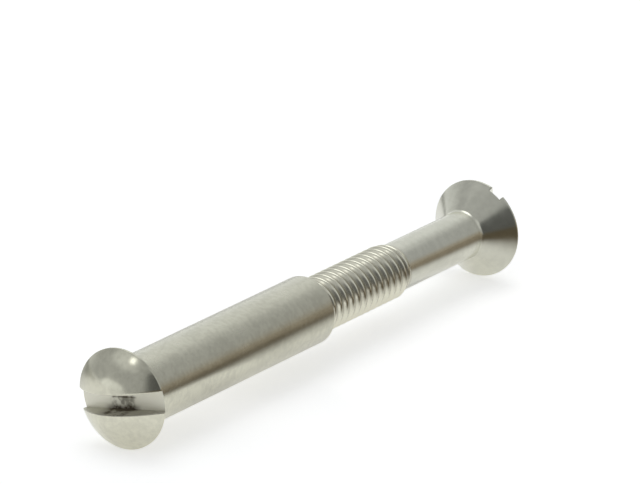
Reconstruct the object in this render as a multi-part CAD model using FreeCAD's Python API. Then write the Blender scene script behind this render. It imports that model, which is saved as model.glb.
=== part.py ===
import FreeCAD, Part
import math
import os

# Binding barrel screw, lying on its side on the rims of its two heads. All sizes are in millimetres.
# +X runs from the sleeve's head to the screw's head, +Z is up, and the floor is at z = 0.
# Along each piece, "depth" is measured from the rim plane of its own head towards its far end.

# Both heads: raised countersunk, for a 90 degree countersink
head_diameter = 7.0
dome_height = 1.4
rim_land = 0.12
rim_round = 0.05
seat_half_angle = math.radians(45)

# Thread: M4, modelled at its major diameter, which is a little under 4
thread_diameter = 3.95
thread_pitch = 0.7
thread_running_gap = 0.06

# Sleeve nut
barrel_wall = 0.415
sleeve_length = 20.8
sleeve_neck_round = 0.3
mouth_round = 0.12
mouth_chamfer = 0.15
end_wall = 2.7
drill_half_angle = math.radians(59)
sleeve_slot_width = 1.4
sleeve_slot_below_rim = 0.25
sleeve_slot_turn = -10.0
sleeve_slot_off_centre = -0.07

# Machine screw
screw_length = 37.2
shank_diameter = 3.45
shank_length = 11.0
screw_neck_round = 0.4
tip_chamfer = 0.45
screw_slot_width = 1.0
screw_slot_below_rim = 0.3
screw_slot_turn = 60.0
screw_slot_off_centre = 0.0

# How far the screw is in at rest: the room left between its tip and the end of the bore
tip_room = 1.6

head_radius = head_diameter / 2
axis_height = head_radius
bore_radius = thread_diameter / 2 + thread_running_gap
barrel_radius = bore_radius + barrel_wall
bore_depth = sleeve_length - end_wall
engaged_length = bore_depth - tip_room
rim_to_rim = sleeve_length + screw_length - engaged_length


def point(depth, radius):
    """A point of a profile, in the plane of the axis (X) and one radius (Y)."""
    return FreeCAD.Vector(depth, radius, 0)


def straight(*points):
    """Straight edges through the points, in their order."""
    return [Part.LineSegment(start, end).toShape() for start, end in zip(points, points[1:])]


def arc(start, middle, end):
    return Part.Arc(start, middle, end).toShape()


def dome_edge():
    """The dome: an arc from its crown on the axis to the rim plane, as high as dome_height."""
    radius = (head_radius**2 + dome_height**2) / (2 * dome_height)
    centre = radius - dome_height
    half_turn = math.asin(head_radius / radius) / 2
    middle = point(centre - radius * math.cos(half_turn), radius * math.sin(half_turn))
    return arc(point(-dome_height, 0), middle, point(0, head_radius))


def head_edges(body_radius, neck_round):
    """Dome, rim, countersunk seat and neck fillet. Returns the edges and the depth where the body starts."""
    seat_height = (head_radius - body_radius) / math.tan(seat_half_angle)
    neck = rim_land + seat_height
    tangent = neck_round * math.tan(seat_half_angle / 2)
    on_seat = point(
        neck - tangent * math.cos(seat_half_angle),
        body_radius + tangent * math.sin(seat_half_angle),
    )
    on_body = point(neck + tangent, body_radius)
    bend = point(
        neck + tangent - neck_round * math.sin(seat_half_angle / 2),
        body_radius + neck_round * (1 - math.cos(seat_half_angle / 2)),
    )
    seat = straight(point(0, head_radius), point(rim_land, head_radius), on_seat)
    return [dome_edge(), *seat, arc(on_seat, bend, on_body)], neck + tangent


def turned(edges):
    """The solid turned about the axis from a closed half profile."""
    face = Part.Face(Part.Wire(edges))
    return face.revolve(FreeCAD.Vector(0, 0, 0), FreeCAD.Vector(1, 0, 0), 360)


def with_round_rim(solid):
    """The same head with both edges of its rim land rounded."""
    circles = [e for e in solid.Edges if not e.Degenerated and isinstance(e.Curve, Part.Circle)]
    rims = [e for e in circles if e.Closed and math.isclose(e.Curve.Radius, head_radius)]
    return solid.makeFillet(rim_round, rims)


def driver_slot(width, below_rim, turn, off_centre):
    """What a straight slotting saw takes away across the whole head: a flat floor below the rim plane.

    turn is in degrees about +X, from a slot that lies level, along Y. off_centre is how far the saw ran
    beside the axis, as it did by a hair on the real sleeve.
    """
    clear = head_radius
    length = 2 * (head_radius + clear)
    height = dome_height + clear + below_rim
    corner = FreeCAD.Vector(below_rim - height, -length / 2, off_centre - width / 2)
    cutter = Part.makeBox(height, length, width, corner)
    cutter.rotate(FreeCAD.Vector(0, 0, 0), FreeCAD.Vector(1, 0, 0), turn)
    return cutter


def sleeve_nut():
    """Head, plain barrel and a blind bore from the mouth, with the sleeve's rim plane at x = 0."""
    point_height = bore_radius / math.tan(drill_half_angle)
    bore_end = sleeve_length - bore_depth
    head, body_start = head_edges(barrel_radius, sleeve_neck_round)
    bevel = mouth_round * (1 - math.sqrt(0.5))
    round_start = point(sleeve_length - mouth_round, barrel_radius)
    round_middle = point(sleeve_length - bevel, barrel_radius - bevel)
    round_end = point(sleeve_length, barrel_radius - mouth_round)
    barrel = straight(point(body_start, barrel_radius), round_start)
    bore = straight(
        round_end,
        point(sleeve_length, bore_radius + mouth_chamfer),
        point(sleeve_length - mouth_chamfer, bore_radius),
        point(bore_end, bore_radius),
        point(bore_end - point_height, 0),
        point(-dome_height, 0),
    )
    edges = [*head, *barrel, arc(round_start, round_middle, round_end), *bore]
    solid = with_round_rim(turned(edges))
    slot = driver_slot(sleeve_slot_width, sleeve_slot_below_rim, sleeve_slot_turn, sleeve_slot_off_centre)
    return solid.cut(slot)


def machine_screw():
    """Head, plain shank and threaded end, with the screw's rim plane at x = 0 and its tip towards +X."""
    shank_radius = shank_diameter / 2
    thread_radius = thread_diameter / 2
    runout = thread_pitch / 2
    head, body_start = head_edges(shank_radius, screw_neck_round)
    body = straight(
        point(body_start, shank_radius),
        point(shank_length - runout, shank_radius),
        point(shank_length, thread_radius),
        point(screw_length - tip_chamfer, thread_radius),
        point(screw_length, thread_radius - tip_chamfer),
        point(screw_length, 0),
        point(-dome_height, 0),
    )
    edges = [*head, *body]
    solid = with_round_rim(turned(edges))
    slot = driver_slot(screw_slot_width, screw_slot_below_rim, screw_slot_turn, screw_slot_off_centre)
    return solid.cut(slot)


def placed(solid, rim_x, half_turn):
    """The piece on the common axis, with its rim plane at rim_x, and turned to face -X if asked."""
    moved = solid.copy()
    if half_turn:
        moved.rotate(FreeCAD.Vector(0, 0, 0), FreeCAD.Vector(0, 0, 1), 180)
    moved.translate(FreeCAD.Vector(rim_x, 0, axis_height))
    return moved


pieces = {
    "sleeve_nut": placed(sleeve_nut(), -rim_to_rim / 2, False),
    "machine_screw": placed(machine_screw(), rim_to_rim / 2, True),
}

os.makedirs("parts", exist_ok=True)
for name, solid in pieces.items():
    solid.exportStep(f"parts/{name}.step")
    print(name, "valid" if solid.isValid() else "not valid", round(solid.Volume, 1), "mm3")
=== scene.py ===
import math

import bmesh
import bpy
import numpy as np
from mathutils import Matrix, Vector


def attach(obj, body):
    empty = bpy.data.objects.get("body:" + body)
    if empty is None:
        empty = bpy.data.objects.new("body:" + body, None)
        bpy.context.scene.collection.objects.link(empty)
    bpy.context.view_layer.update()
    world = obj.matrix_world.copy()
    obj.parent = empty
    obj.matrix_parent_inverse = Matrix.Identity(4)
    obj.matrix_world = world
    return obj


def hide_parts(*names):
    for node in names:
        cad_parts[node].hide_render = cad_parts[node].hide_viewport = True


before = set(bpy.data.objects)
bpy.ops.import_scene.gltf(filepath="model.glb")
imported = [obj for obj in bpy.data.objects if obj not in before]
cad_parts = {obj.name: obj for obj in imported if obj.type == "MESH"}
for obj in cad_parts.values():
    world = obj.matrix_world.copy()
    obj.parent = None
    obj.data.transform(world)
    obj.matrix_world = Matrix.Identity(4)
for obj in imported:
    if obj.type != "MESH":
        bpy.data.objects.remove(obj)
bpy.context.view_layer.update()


# Sleeve nut: the barrel half of the fastener, turned and slotted from one steel bar and then nickel plated.
# It is a domed head with a 90 degree countersunk seat, a plain barrel and a blind hole tapped M4 from its
# mouth. Sizes are in millimetres, and depth runs from the rim plane of the head towards the far end.

millimetre = 0.001
head_radius = 3.5
dome_height = 1.4
rim_land = 0.12
rim_round = 0.05
axis_height = 3.5
rim_to_rim = 41.5

barrel_radius = 2.45
sleeve_length = 20.8
sleeve_neck_round = 0.3
mouth_round = 0.12
sleeve_slot = {"width": 1.4, "floor": 0.25, "edge": 0.05, "turn": -10.0, "off_centre": -0.07}

thread_pitch = 0.7
crest_radius = 1.975
root_radius = 1.6
tapping_radius = 1.63
thread_gap = 0.06
crest_rounding = 0.22
root_rounding = 0.1
mouth_radius = 2.185
tapped_to = 3.1
tap_lead = 0.35
drilled_to = 2.7
drill_point = 1.0


def rounded_line(corners, steps=6):
    """Rows of depth and radius through corners given as (depth, radius, round).

    Each inner corner is cut back by round * tan(turn / 2) on both sides. The arc between the two cuts is
    centre + (sin((1 - t) turn) * first + sin(t turn) * last) / sin(turn), with both arms seen from its
    centre.
    """
    points = np.array([corner[:2] for corner in corners], float)
    rows = [points[:1]]
    for before, here, after, (_, _, size) in zip(points, points[1:], points[2:], corners[1:]):
        into = (here - before) / np.linalg.norm(here - before)
        out = (after - here) / np.linalg.norm(after - here)
        turn = math.acos(float(into @ out))
        cut = size * math.tan(turn / 2)
        centre = here + (out - into) / np.linalg.norm(out - into) * size / math.cos(turn / 2)
        share = np.linspace(0, 1, steps)[:, None]
        first, last = here - into * cut - centre, here + out * cut - centre
        arc = (np.sin((1 - share) * turn) * first + np.sin(share * turn) * last) / math.sin(turn)
        rows.append(centre + arc)
    return np.vstack([*rows, points[-1:]])


def head_line(body_corners, dome_steps=60):
    """Rows of depth and radius from the crown over the dome, the rim land and the seat, then along the body.

    The dome is a sphere of radius (R^2 + h^2) / 2h: its depth is radius (1 - cos a) - h, at radius sin a from
    the axis.
    """
    sphere = (head_radius**2 + dome_height**2) / (2 * dome_height)
    angle = np.linspace(0, math.asin(head_radius / sphere), dome_steps)[:-1]
    dome = np.stack([sphere * (1 - np.cos(angle)) - dome_height, sphere * np.sin(angle)], 1)
    start = (*dome[-1], 0)
    rim = [(0, head_radius, rim_round), (rim_land, head_radius, rim_round)]
    rest = rounded_line([start, *rim, *body_corners])
    return np.vstack([dome, rest[1:]])


def slotted_head(line, slot, half_steps=52, floor_steps=8, edge_steps=5):
    """Grids of a turned head with a straight saw slot across it, and the ring of angles where they end.

    On each side of the slot, every row of the line is turned only through the arc from asin(w / r) to pi less
    that, with w from the axis to the slot's wall and its edge round e. Each arc's end goes round that edge as
    p + e (1 - cos a) n, w - e sin a, then straight down to the slot's floor, which is flat at its own depth.
    """
    depth, radius = line.T
    rim = int(np.argmax(radius))
    cross = rim + int(np.argmax(depth[rim:] >= slot["floor"]))
    share = (slot["floor"] - depth[cross - 1]) / (depth[cross] - depth[cross - 1])
    end = line[cross - 1] + share * (line[cross] - line[cross - 1])
    walls = slot["width"] / 2 + slot["off_centre"], slot["width"] / 2 - slot["off_centre"]
    widest = max(walls) + slot["edge"]
    inner = int(np.argmax(radius > widest))
    outer = np.vstack([line[inner:cross], end])
    foot = np.maximum.accumulate(np.sqrt(outer[:, 1] ** 2 - widest**2))
    foot = np.concatenate([-foot[::-1], [0], foot]) / foot[-1]
    across = np.linspace(0, 1, half_steps + 1)
    bend = np.linspace(0, np.pi / 2, edge_steps)

    grids, arcs_end = [], []
    for wall, flip in zip(walls, (1, -1)):
        reach = wall + slot["edge"]
        rows = np.vstack([[np.interp(reach, radius[:rim], depth[:rim]), reach], outer])
        gap = np.arcsin(np.minimum(reach / rows[:, 1], 1))
        angle = gap[:, None] + (np.pi - 2 * gap)[:, None] * across
        arcs = np.stack([
            np.broadcast_to(rows[:, :1], angle.shape),
            rows[:, 1:] * np.cos(angle),
            rows[:, 1:] * np.sin(angle),
        ], -1)
        slope = np.gradient(rows, axis=0)
        inward = np.stack([slope[:, 1], -slope[:, 0]], 1) / np.linalg.norm(slope, axis=1)[:, None]
        far = math.sqrt(end[1] ** 2 - wall**2)
        half, tops = [arcs], []
        for side, column in ((1, 0), (-1, -1)):
            normal = np.stack([inward[:, 0], inward[:, 1] * np.cos(gap) * side], 1)
            edge = arcs[:, column, None, :2] + slot["edge"] * (1 - np.cos(bend))[:, None] * normal[:, None]
            edge = np.dstack([edge, np.broadcast_to(reach - slot["edge"] * np.sin(bend), edge.shape[:2])])
            lip = np.vstack([arcs[-1:, column], edge[-1]])
            corner = np.broadcast_to([slot["floor"], side * far, wall], lip.shape)
            half += [edge, np.stack([lip, corner])]
            tops.append(edge[:, -1])
        top = np.vstack([tops[1][::-1], tops[0][1:]])
        base = np.stack([np.full(len(foot), slot["floor"]), foot * far, np.full(len(foot), wall)], 1)
        half.append(np.stack([top, base]))
        grids += [grid * [1, 1, flip] for grid in half]
        arcs_end.append(angle[-1])

    width = np.linspace(-walls[1], walls[0], floor_steps + 1)[:, None]
    depths = np.full_like(foot, slot["floor"]) + 0 * width
    lengths = foot * np.sqrt(end[1] ** 2 - width**2)
    grids.append(np.dstack([depths, lengths, 0 * foot + width]))
    notch = np.arcsin(width[:, 0] / end[1])
    upper, lower = arcs_end
    full = 2 * np.pi
    ring = np.concatenate([upper, np.pi - notch[::-1], np.pi + lower, full + notch, upper[:1] + full])
    body = np.vstack([end, line[cross:]])
    turn = math.radians(slot["turn"])
    swing = np.array([[1, 0, 0], [0, math.cos(turn), math.sin(turn)], [0, -math.sin(turn), math.cos(turn)]])
    return [grid @ swing for grid in grids], body, ring + turn


def turned(line, ring):
    """A grid turned about the axis: (depth, r cos a, r sin a) for each row and each angle of the ring."""
    return np.stack([
        np.broadcast_to(line[:, :1], (len(line), len(ring))),
        line[:, 1:] * np.cos(ring),
        line[:, 1:] * np.sin(ring),
    ], -1)


def thread_height(turns):
    """Radius of the thread by how many turns a point lies from a crest.

    With d the distance to the nearest crest in pitches and c the crest's rounding, the flank lies
    (sqrt(d^2 + c^2) - c) pitch tan 60 below the crest. It levels out at the root over a short stretch w:
    with f the depth below the root, ((f + w / 2)^2 - (f - w / 2)^2) / 2w is given back, each bracket held
    above 0.
    """
    away = np.abs(turns - np.round(turns))
    flank = (np.hypot(away, crest_rounding) - crest_rounding) * thread_pitch * math.tan(math.radians(60))
    below = flank - (crest_radius - root_radius)
    low, high = [np.maximum(below + side * root_rounding / 2, 0) ** 2 for side in (-1, 1)]
    return crest_radius - flank + (high - low) / (2 * root_rounding)


def helix(start, end, steps, ring, phase, radius_at):
    """A right-handed thread as a grid that winds with it: depth = phase + pitch (s + a / 2 pi).

    The depth is held between start and end. The rows s are whole shares of a pitch, so the last angle of the
    ring meets the first one a pitch further on.
    """
    low = math.floor((start - phase) / thread_pitch) - 2
    high = math.ceil((end - phase) / thread_pitch) + 1
    turns = np.arange(low * steps, high * steps + 1)[:, None] / steps
    depth = np.clip(phase + (turns + ring / (2 * np.pi)) * thread_pitch, start, end)
    radius = radius_at(depth, thread_height(np.broadcast_to(turns, depth.shape)))
    return np.stack([depth, radius * np.cos(ring), radius * np.sin(ring)], -1)


def turned_piece(name, grids, rim_x, half_turn, weld=2e-7, speck=1e-8, sharp=34):
    """One closed object in metres from its grids, facing outwards.

    Points within weld metres are joined, edges shorter than speck metres go, and edges of more than sharp
    degrees stay sharp.
    """
    corners, faces, count = [], [], 0
    for grid in grids:
        rows, columns = grid.shape[:2]
        index = count + np.arange(rows * columns).reshape(rows, columns)
        cells = np.stack([index[:-1, :-1], index[:-1, 1:], index[1:, 1:], index[1:, :-1]], -1)
        faces.append(cells.reshape(-1, 4))
        corners.append(grid.reshape(-1, 3))
        count += rows * columns
    points = np.vstack(corners)
    if half_turn:
        points = points * [-1, -1, 1]
    points = (points + [rim_x, 0, axis_height]) * millimetre
    quads = np.vstack(faces)
    mesh = bpy.data.meshes.new(name)
    mesh.vertices.add(len(points))
    mesh.vertices.foreach_set("co", points.ravel())
    mesh.loops.add(quads.size)
    mesh.loops.foreach_set("vertex_index", quads.ravel())
    mesh.polygons.add(len(quads))
    mesh.polygons.foreach_set("loop_start", np.arange(0, quads.size, 4))
    mesh.update(calc_edges=True)
    shape = bmesh.new()
    shape.from_mesh(mesh)
    bmesh.ops.remove_doubles(shape, verts=shape.verts, dist=weld)
    bmesh.ops.dissolve_degenerate(shape, edges=shape.edges, dist=speck)
    bmesh.ops.recalc_face_normals(shape, faces=shape.faces)
    shape.to_mesh(mesh)
    shape.free()
    mesh.shade_smooth()
    mesh.set_sharp_from_angle(angle=math.radians(sharp))
    piece = bpy.data.objects.new(name, mesh)
    bpy.context.collection.objects.link(piece)
    return piece


class Shade:
    """One socket of a shader. Arithmetic on it adds the Math nodes, so a mask is written as an expression."""

    def __init__(self, socket):
        self.socket = socket

    @classmethod
    def node(cls, tree, kind, settings=None, inputs=None, output=0):
        """Adds a node of any kind: its settings first, then the value or link of each socket."""
        node = tree.nodes.new(kind)
        for name, value in (settings or {}).items():
            setattr(node, name, value)
        for name, value in (inputs or {}).items():
            if isinstance(value, Shade):
                tree.links.new(value.socket, node.inputs[name])
            else:
                node.inputs[name].default_value = value
        return cls(node.outputs[output])

    def math(self, operation, first, second=0.0):
        """One Math node on two values."""
        inputs = {0: first, 1: second}
        return Shade.node(self.socket.id_data, "ShaderNodeMath", {"operation": operation}, inputs)

    def __add__(self, other):
        return self.math("ADD", self, other)

    def __sub__(self, other):
        return self.math("SUBTRACT", self, other)

    def __mul__(self, other):
        return self.math("MULTIPLY", self, other)

    def __rsub__(self, other):
        return self.math("SUBTRACT", other, self)

    __radd__ = __add__
    __rmul__ = __mul__

    def __abs__(self):
        return self.math("ABSOLUTE", self)

    def step(self, low, high):
        """0 below low, 1 above high and a smooth step between them."""
        settings = {"interpolation_type": "SMOOTHSTEP"}
        inputs = {"Value": self, "From Min": low, "From Max": high}
        return Shade.node(self.socket.id_data, "ShaderNodeMapRange", settings, inputs)


def plate_places(tree):
    """Object coordinates in millimetres: the vector itself, then x, y and z."""
    point = Shade.node(tree, "ShaderNodeTexCoord", output="Object")
    inputs = {0: point, "Scale": 1 / millimetre}
    scaled = Shade.node(tree, "ShaderNodeVectorMath", {"operation": "SCALE"}, inputs)
    split = [Shade.node(tree, "ShaderNodeSeparateXYZ", {}, {0: scaled}, output) for output in "XYZ"]
    return scaled, *split


def noise(point, stretch, detail=3.0, roughness=0.55):
    """Noise on a stretched copy of a point, around 0.5."""
    tree = point.socket.id_data
    stretched = Shade.node(tree, "ShaderNodeVectorMath", {"operation": "MULTIPLY"}, {0: point, 1: stretch})
    inputs = {"Vector": stretched, "Scale": 1.0, "Detail": detail, "Roughness": roughness}
    return Shade.node(tree, "ShaderNodeTexNoise", {"noise_dimensions": "3D"}, inputs, "Fac")


def mixed(factor, first, second):
    """A colour from first to second as factor goes from 0 to 1."""
    tree = factor.socket.id_data
    colour_a, colour_b, colour_out = 6, 7, 2
    inputs = {"Factor": factor, colour_a: first, colour_b: second}
    return Shade.node(tree, "ShaderNodeMix", {"data_type": "RGBA"}, inputs, colour_out)


def new_material(piece, name):
    """Puts a new material on a piece and returns its node tree."""
    material = bpy.data.materials.new(name)
    material.use_nodes = True
    piece.data.materials.append(material)
    return material.node_tree


dulling_brown = (0.078, 0.056, 0.028, 1)


def nickel_plate(tree, colour, roughness, marks, dulling):
    """Nickel over steel: its colour, its roughness, the height of its marks in thousandths of a millimetre,
    and a mask that darkens it towards brown and dulls it where it lies."""
    shader = tree.nodes["Principled BSDF"]
    bump = {"Strength": 1.0, "Distance": 0.001 * millimetre, "Height": marks}
    values = {
        "Base Color": mixed(dulling, colour, dulling_brown),
        "Metallic": 1 - dulling * 0.8,
        "Roughness": roughness + dulling * 0.3,
        "Normal": Shade.node(tree, "ShaderNodeBump", {}, bump, "Normal"),
    }
    for socket, value in values.items():
        tree.links.new(value.socket, shader.inputs[socket])


sleeve_neck = rim_land + head_radius - barrel_radius
sleeve_corners = [
    (sleeve_neck, barrel_radius, sleeve_neck_round),
    (sleeve_length, barrel_radius, mouth_round),
    (sleeve_length, mouth_radius, 0),
]
sleeve_head, sleeve_body, sleeve_ring = slotted_head(head_line(sleeve_corners), sleeve_slot)

# Depth at angle 0 of a crest of the screw's thread and of the hole's groove that fits it, each from its own
# rim plane. The pieces face each other, so their angles are half a turn apart.
screw_phase = 11.5
sleeve_phase = rim_to_rim - thread_pitch / 2 - screw_phase


def tapped(depth, height):
    """Radius of the tapped hole: the thread and its gap, cut off at the tapping drill, which it fades to near
    its end, and opened at the mouth by a 45 degree countersink."""
    cut = np.maximum(height + thread_gap, tapping_radius)
    fade = np.clip((depth - tapped_to + tap_lead) / tap_lead, 0, 1)
    return np.maximum(tapping_radius + (cut - tapping_radius) * fade, mouth_radius - (sleeve_length - depth))


tapped_from = tapped_to - tap_lead
tapped_hole = helix(
    tapped_from, sleeve_length, steps=8, ring=sleeve_ring, phase=sleeve_phase, radius_at=tapped
)
drilled_end = np.array([
    (tapped_from, tapping_radius), (drilled_to, tapping_radius), (drilled_to - drill_point, 0.0)
])
sleeve = turned_piece(
    "sleeve",
    [*sleeve_head, turned(sleeve_body, sleeve_ring), tapped_hole, turned(drilled_end, sleeve_ring)],
    rim_x=-rim_to_rim / 2,
    half_turn=False,
)

tree = new_material(sleeve, "sleeve_nickel")
place, along, sideways, up = plate_places(tree)
tilt = math.radians(sleeve_slot["turn"])
across = (up - axis_height) * math.cos(tilt) - sideways * math.sin(tilt) - sleeve_slot["off_centre"]
slot_wall = sleeve_slot["width"] / 2
slot_floor = sleeve_slot["floor"] - rim_to_rim / 2
in_slot = 1 - abs(across).step(slot_wall + 0.005, slot_wall + 0.04)
in_slot = in_slot * (1 - along.step(slot_floor + 0.02, slot_floor + 0.1))
neck_x = sleeve_neck - rim_to_rim / 2
on_barrel = along.step(neck_x - 0.02, neck_x + 0.28)
turning = noise(place, stretch=(9.0, 0.35, 0.35), detail=4.0, roughness=0.7)
cloud = noise(place, stretch=(0.45, 0.6, 0.6))
mottle = noise(place, stretch=(3.0, 2.4, 2.4), detail=2.0) * 0.5 + cloud * 0.5

# Darkening in the slot: dirt in a patch in its middle, more dirt in the corner under it and a film on the
# lower wall, and a dark line along the slot's floor a little above its middle. It is placed along the slot,
# across it and by the height over its floor, in millimetres.
run = sideways * math.cos(tilt) + (up - axis_height) * math.sin(tilt)
from_wall = across + slot_wall
deep = along.step(slot_floor - 0.6, slot_floor - 0.05)
speckle = noise(place, stretch=(1.8, 1.6, 1.6), detail=4.0, roughness=0.65)
middle = (1 - abs(run - 0.15).step(0.75, 1.15)) * speckle.step(0.42, 0.62)
corner = (1 - from_wall.step(0.05, 0.45)) * (1 - abs(run - 0.15).step(0.7, 1.7)) * speckle.step(0.2, 0.5)
# A dark line along the slot's floor, a little above its middle.
upper_line = (1 - abs(across - 0.13).step(0.03, 0.09)) * (1 - abs(run).step(0.85, 1.15))
lower_wall = 1 - from_wall.step(0.0, 0.04)
wall_dirt = 0.15 + (1 - abs(run - 0.2).step(0.8, 1.9)) * 0.25 + (1 - run.step(-1.8, -0.9)) * 0.25
blotch = in_slot * (middle * 0.5 + (corner * 0.65 + upper_line * 0.36) * deep + lower_wall * wall_dirt)

dull_nickel = (0.602, 0.59, 0.485, 1)
clear_nickel = (0.675, 0.662, 0.547, 1)
saw_cut = (0.775, 0.76, 0.665, 1)
nickel_plate(
    tree,
    colour=mixed(in_slot, mixed(mottle.step(0.38, 0.62), dull_nickel, clear_nickel), saw_cut),
    roughness=0.14 + on_barrel * 0.1 + in_slot * 0.4 + cloud * 0.05,
    marks=turning * (0.4 + on_barrel * 5.0),
    dulling=blotch.math("MINIMUM", blotch, 0.95),
)
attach(sleeve, "sleeve")
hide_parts("sleeve_nut")


# Machine screw: the other half, headed, slotted and thread-rolled from steel wire and nickel plated. Its head
# is the same raised countersunk one with a narrower slot, its shank is the blank that the thread was rolled
# from, and the M4 thread runs into the sleeve.

shank_radius = 1.725
shank_end = 10.65
thread_start = 11.25
screw_length = 37.2
tip_chamfer = 0.43
screw_neck_round = 0.4
screw_slot = {"width": 1.0, "floor": 0.3, "edge": 0.05, "turn": 60.0, "off_centre": 0.0}

screw_corners = [
    (rim_land + head_radius - shank_radius, shank_radius, screw_neck_round),
    (shank_end, shank_radius, 0),
]
screw_head, screw_body, screw_ring = slotted_head(head_line(screw_corners), screw_slot)


def rolled(depth, height):
    """Radius of the rolled thread: it rises from the shank along a short runout, and a 45 degree chamfer cuts
    its tip."""
    fade = np.clip((depth - shank_end) / (thread_start - shank_end), 0, 1)
    chamfer = crest_radius - (depth - screw_length + tip_chamfer)
    return np.minimum(shank_radius + (height - shank_radius) * fade, chamfer)


rolled_thread = helix(
    shank_end, screw_length, steps=16, ring=screw_ring, phase=screw_phase, radius_at=rolled
)
tip_face = np.array([(screw_length, crest_radius - tip_chamfer), (screw_length, 0.0)])
screw = turned_piece(
    "screw",
    [*screw_head, turned(screw_body, screw_ring), rolled_thread, turned(tip_face, screw_ring)],
    rim_x=rim_to_rim / 2,
    half_turn=True,
)

tree = new_material(screw, "screw_nickel")
place, along = plate_places(tree)[:2]
cloud = noise(place, stretch=(2.0, 1.6, 1.6))
turning = noise(place, stretch=(7.0, 0.5, 0.5), roughness=0.6)

# How far a point lies from the axis: the length of its place without the part along the axis.
flat_inputs = {0: place, 1: (0.0, 1.0, 1.0), 2: (0.0, 0.0, -axis_height)}
off_axis = Shade.node(tree, "ShaderNodeVectorMath", {"operation": "MULTIPLY_ADD"}, flat_inputs)
off_axis = Shade.node(tree, "ShaderNodeVectorMath", {"operation": "LENGTH"}, {0: off_axis}, "Value")

thread_end = rim_to_rim / 2 - shank_end
on_thread = 1 - along.step(thread_end - 0.1, thread_end + 0.2)
# Darker and duller in the thread's roots.
root = on_thread * (1 - off_axis.step(root_radius + 0.1, crest_radius - 0.12))
dull_shank = (0.69, 0.685, 0.59, 1)
clear_shank = (0.735, 0.73, 0.63, 1)
bright_thread = (0.815, 0.795, 0.665, 1)
nickel_plate(
    tree,
    colour=mixed(on_thread, mixed(cloud.step(0.35, 0.65), dull_shank, clear_shank), bright_thread),
    roughness=0.16 + on_thread * 0.03 + cloud * 0.08,
    marks=turning * 0.5,
    dulling=root * 0.32,
)
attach(screw, "screw")
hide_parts("machine_screw")


# Studio: a white card in a soft tent of light, and one small lamp high on the left; round the card the floor
# is painted shade in brown and grey, which only reflections show.
# The tent is brighter behind the part, above it and low on its left, and darker where the camera stands. That
# is where the photograph was taken from, with a long lens.

floor_size = 3.0
floor_mesh = bpy.data.meshes.new("floor")
corner_signs = [(-1, -1), (1, -1), (1, 1), (-1, 1)]
floor_corners = [(x * floor_size, y * floor_size, 0) for x, y in corner_signs]
floor_mesh.from_pydata(floor_corners, [], [(0, 1, 2, 3)])
floor = bpy.data.objects.new("floor", floor_mesh)
bpy.context.collection.objects.link(floor)
tree = new_material(floor, "white_card")
along, sideways = plate_places(tree)[1:3]

# The card's soft edges, in millimetres: both ends, the side near the camera, the far side and a slanting one
# behind the sleeve's head. Beyond them the floor is painted shade that only reflections show: brown near the
# camera and grey behind the part.
ends = along.step(-700, -300) * (1 - along.step(50, 60))
front = (sideways + (1 - along.step(-9, -2.5)) * 11).step(-12, along.step(8, 16) * 1.2 - 2)
back = 1 - sideways.step(25, 80) * (along + sideways * 0.5).step(-30, 20)
slant = 1 - (sideways + along * 3 + 72).step(20, 70) * (1 - along.step(-16, -6))
on_card = ends * front * back * slant
# Painted shade: these browns and greys darken the floor beyond the card for reflections only.
shade_brown, pale_shade_brown = (0.15, 0.118, 0.075, 1), (0.4, 0.335, 0.255, 1)
pale_shade_grey, shade_grey = (0.68, 0.67, 0.63, 1), (0.5, 0.5, 0.48, 1)
near_painted_shade = mixed(along.step(12, 40), shade_brown, pale_shade_brown)
far_painted_shade = mixed(along.step(-40, -10), pale_shade_grey, shade_grey)
painted_shade_beyond = mixed(sideways.step(-16, 16), near_painted_shade, far_painted_shade)
shader = tree.nodes["Principled BSDF"]
card_white = (0.8, 0.8, 0.8, 1)
tree.links.new(mixed(on_card, painted_shade_beyond, card_white).socket, shader.inputs["Base Color"])
shader.inputs["Roughness"].default_value = 0.9
shader.inputs["Specular IOR Level"].default_value = 0.0
shader.inputs["Emission Strength"].default_value = 1.0

# The camera sees the whole floor lit. A mirror sees the card lit, but less of it behind the part and in a
# sector past the sleeve's head.
seen = Shade.node(tree, "ShaderNodeLightPath", output="Is Camera Ray")
path = seen.socket.node.outputs
mirrored = Shade(path["Is Glossy Ray"]) + Shade(path["Is Transmission Ray"])
past_head = along + 22
heading = sideways.math("DIVIDE", sideways, past_head.math("MINIMUM", past_head, -1.0)) * -1.0
dimmed = (1 - heading.step(0.55, 0.85)) * (1 - along.step(-45, -35)) * 0.11
glow = seen * (1 - on_card * 0.5) + mirrored * on_card * (0.46 - sideways.step(2, 16) * 0.08 - dimmed)
black, white = (0, 0, 0, 1), (1, 1, 1, 1)
tree.links.new(mixed(glow, black, white).socket, shader.inputs["Emission Color"])

world = bpy.data.worlds.new("tent")
world.use_nodes = True
bpy.context.scene.world = world
tree = world.node_tree
direction = Shade.node(tree, "ShaderNodeTexCoord", output="Generated")
rise = Shade.node(tree, "ShaderNodeSeparateXYZ", {}, {0: direction}, "Z")
level_inputs = {0: direction, 1: (1.0, 1.0, 0.0)}
level = Shade.node(tree, "ShaderNodeVectorMath", {"operation": "MULTIPLY"}, level_inputs)
level = Shade.node(tree, "ShaderNodeVectorMath", {"operation": "NORMALIZE"}, {0: level})


def facing(azimuth, none, full):
    """1 within full degrees of an azimuth from +X, and 0 beyond none degrees of it."""
    a = math.radians(azimuth)
    inputs = {0: level, 1: (math.cos(a), math.sin(a), 0.0)}
    dot = Shade.node(tree, "ShaderNodeVectorMath", {"operation": "DOT_PRODUCT"}, inputs, "Value")
    return dot.step(math.cos(math.radians(none)), math.cos(math.radians(full)))


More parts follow.
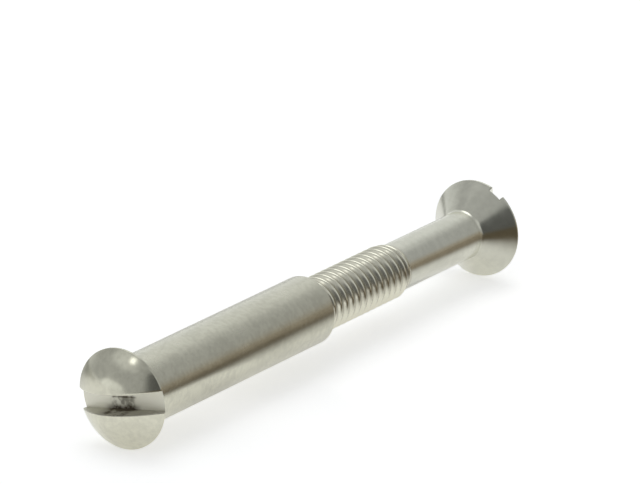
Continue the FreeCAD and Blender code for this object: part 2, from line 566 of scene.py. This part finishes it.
# The tent's soft areas: each lies about an azimuth, and from one height to another above the table.
behind = facing(42, none=62, full=8) * (1 - rise.step(0.55, 0.9) * 0.4)
horizon = facing(42, none=40, full=15) * (1 - rise.step(0.08, 0.22))
low_brown = facing(-40, none=70, full=35) * (1 - rise.step(0.02, 0.26))
low_edge = (rise + (1 - facing(149, none=26, full=4)) * 0.164).step(0.165, 0.215)
low_dim = facing(170, none=24, full=12) * (1 - rise.step(0.03, 0.08)) * 0.25
low_white = facing(135, none=40, full=22) * (1 - low_edge) * (1 - low_dim)
opening = facing(-130, none=34, full=17) * (1 - rise.step(0.5, 0.65))
side = facing(-88, none=48, full=25) * rise.step(0.3, 0.45) * (1 - rise.step(0.8, 0.95))
patch = facing(152, none=40, full=8) * rise.step(0.46, 0.6) * (1 - rise.step(0.76, 0.86))
left = facing(118, none=50, full=25) * (1 - rise.step(0.5, 0.6))
top_inputs = {0: direction, 1: (0.2, 0.24, 0.95)}
top = Shade.node(tree, "ShaderNodeVectorMath", {"operation": "DOT_PRODUCT"}, top_inputs, "Value")
overhead = top.step(0.9, 0.97)
bright = 0.45 + behind * 0.37 + horizon * 0.25 + overhead * 1.1 + left * 0.04
bright = bright + low_white * 0.52 + side * 0.18 + patch * 0.28
tent = bright * (1 - low_brown * 0.2) * (1 - opening * 0.75)
tree.links.new(tent.socket, tree.nodes["Background"].inputs["Strength"])
cool_white, warm_white = (0.97, 0.99, 1.0, 1), (1.0, 0.88, 0.7, 1)
tint = mixed(low_brown, cool_white, warm_white)
tree.links.new(tint.socket, tree.nodes["Background"].inputs["Color"])


def soft_lamp(name, azimuth, elevation, distance, size, power):
    """A square lamp aimed at the part, at azimuth and elevation in degrees from +X and from the table."""
    a, e = math.radians(azimuth), math.radians(elevation)
    away = Vector((math.cos(a) * math.cos(e), math.sin(a) * math.cos(e), math.sin(e)))
    data = bpy.data.lights.new(name, "AREA")
    data.shape, data.size, data.energy = "SQUARE", size, power
    lamp = bpy.data.objects.new(name, data)
    lamp.location = away * distance
    lamp.rotation_euler = away.to_track_quat("Z", "Y").to_euler()
    lamp.visible_camera = False
    bpy.context.collection.objects.link(lamp)


soft_lamp("key_lamp", azimuth=168, elevation=46, distance=0.8, size=0.11, power=0.062)

camera = bpy.data.objects.new("camera", bpy.data.cameras.new("camera"))
right = Vector((0.581215, -0.813751, 0.0))
forward = Vector((0.766520, 0.547495, -0.335702))
above = right.cross(forward)
stand = Matrix.Translation((-0.345503, -0.247976, 0.159996))
camera.matrix_world = stand @ Matrix((right, above, -forward)).transposed().to_4x4()
sensor_width = 36.0
focal_pixels = 6650
image_width = 640
camera.data.sensor_width = sensor_width
camera.data.lens = focal_pixels / image_width * sensor_width
camera.data.clip_start = 0.01
bpy.context.collection.objects.link(camera)
bpy.context.scene.camera = camera
bpy.context.scene.view_settings.view_transform = "Standard"
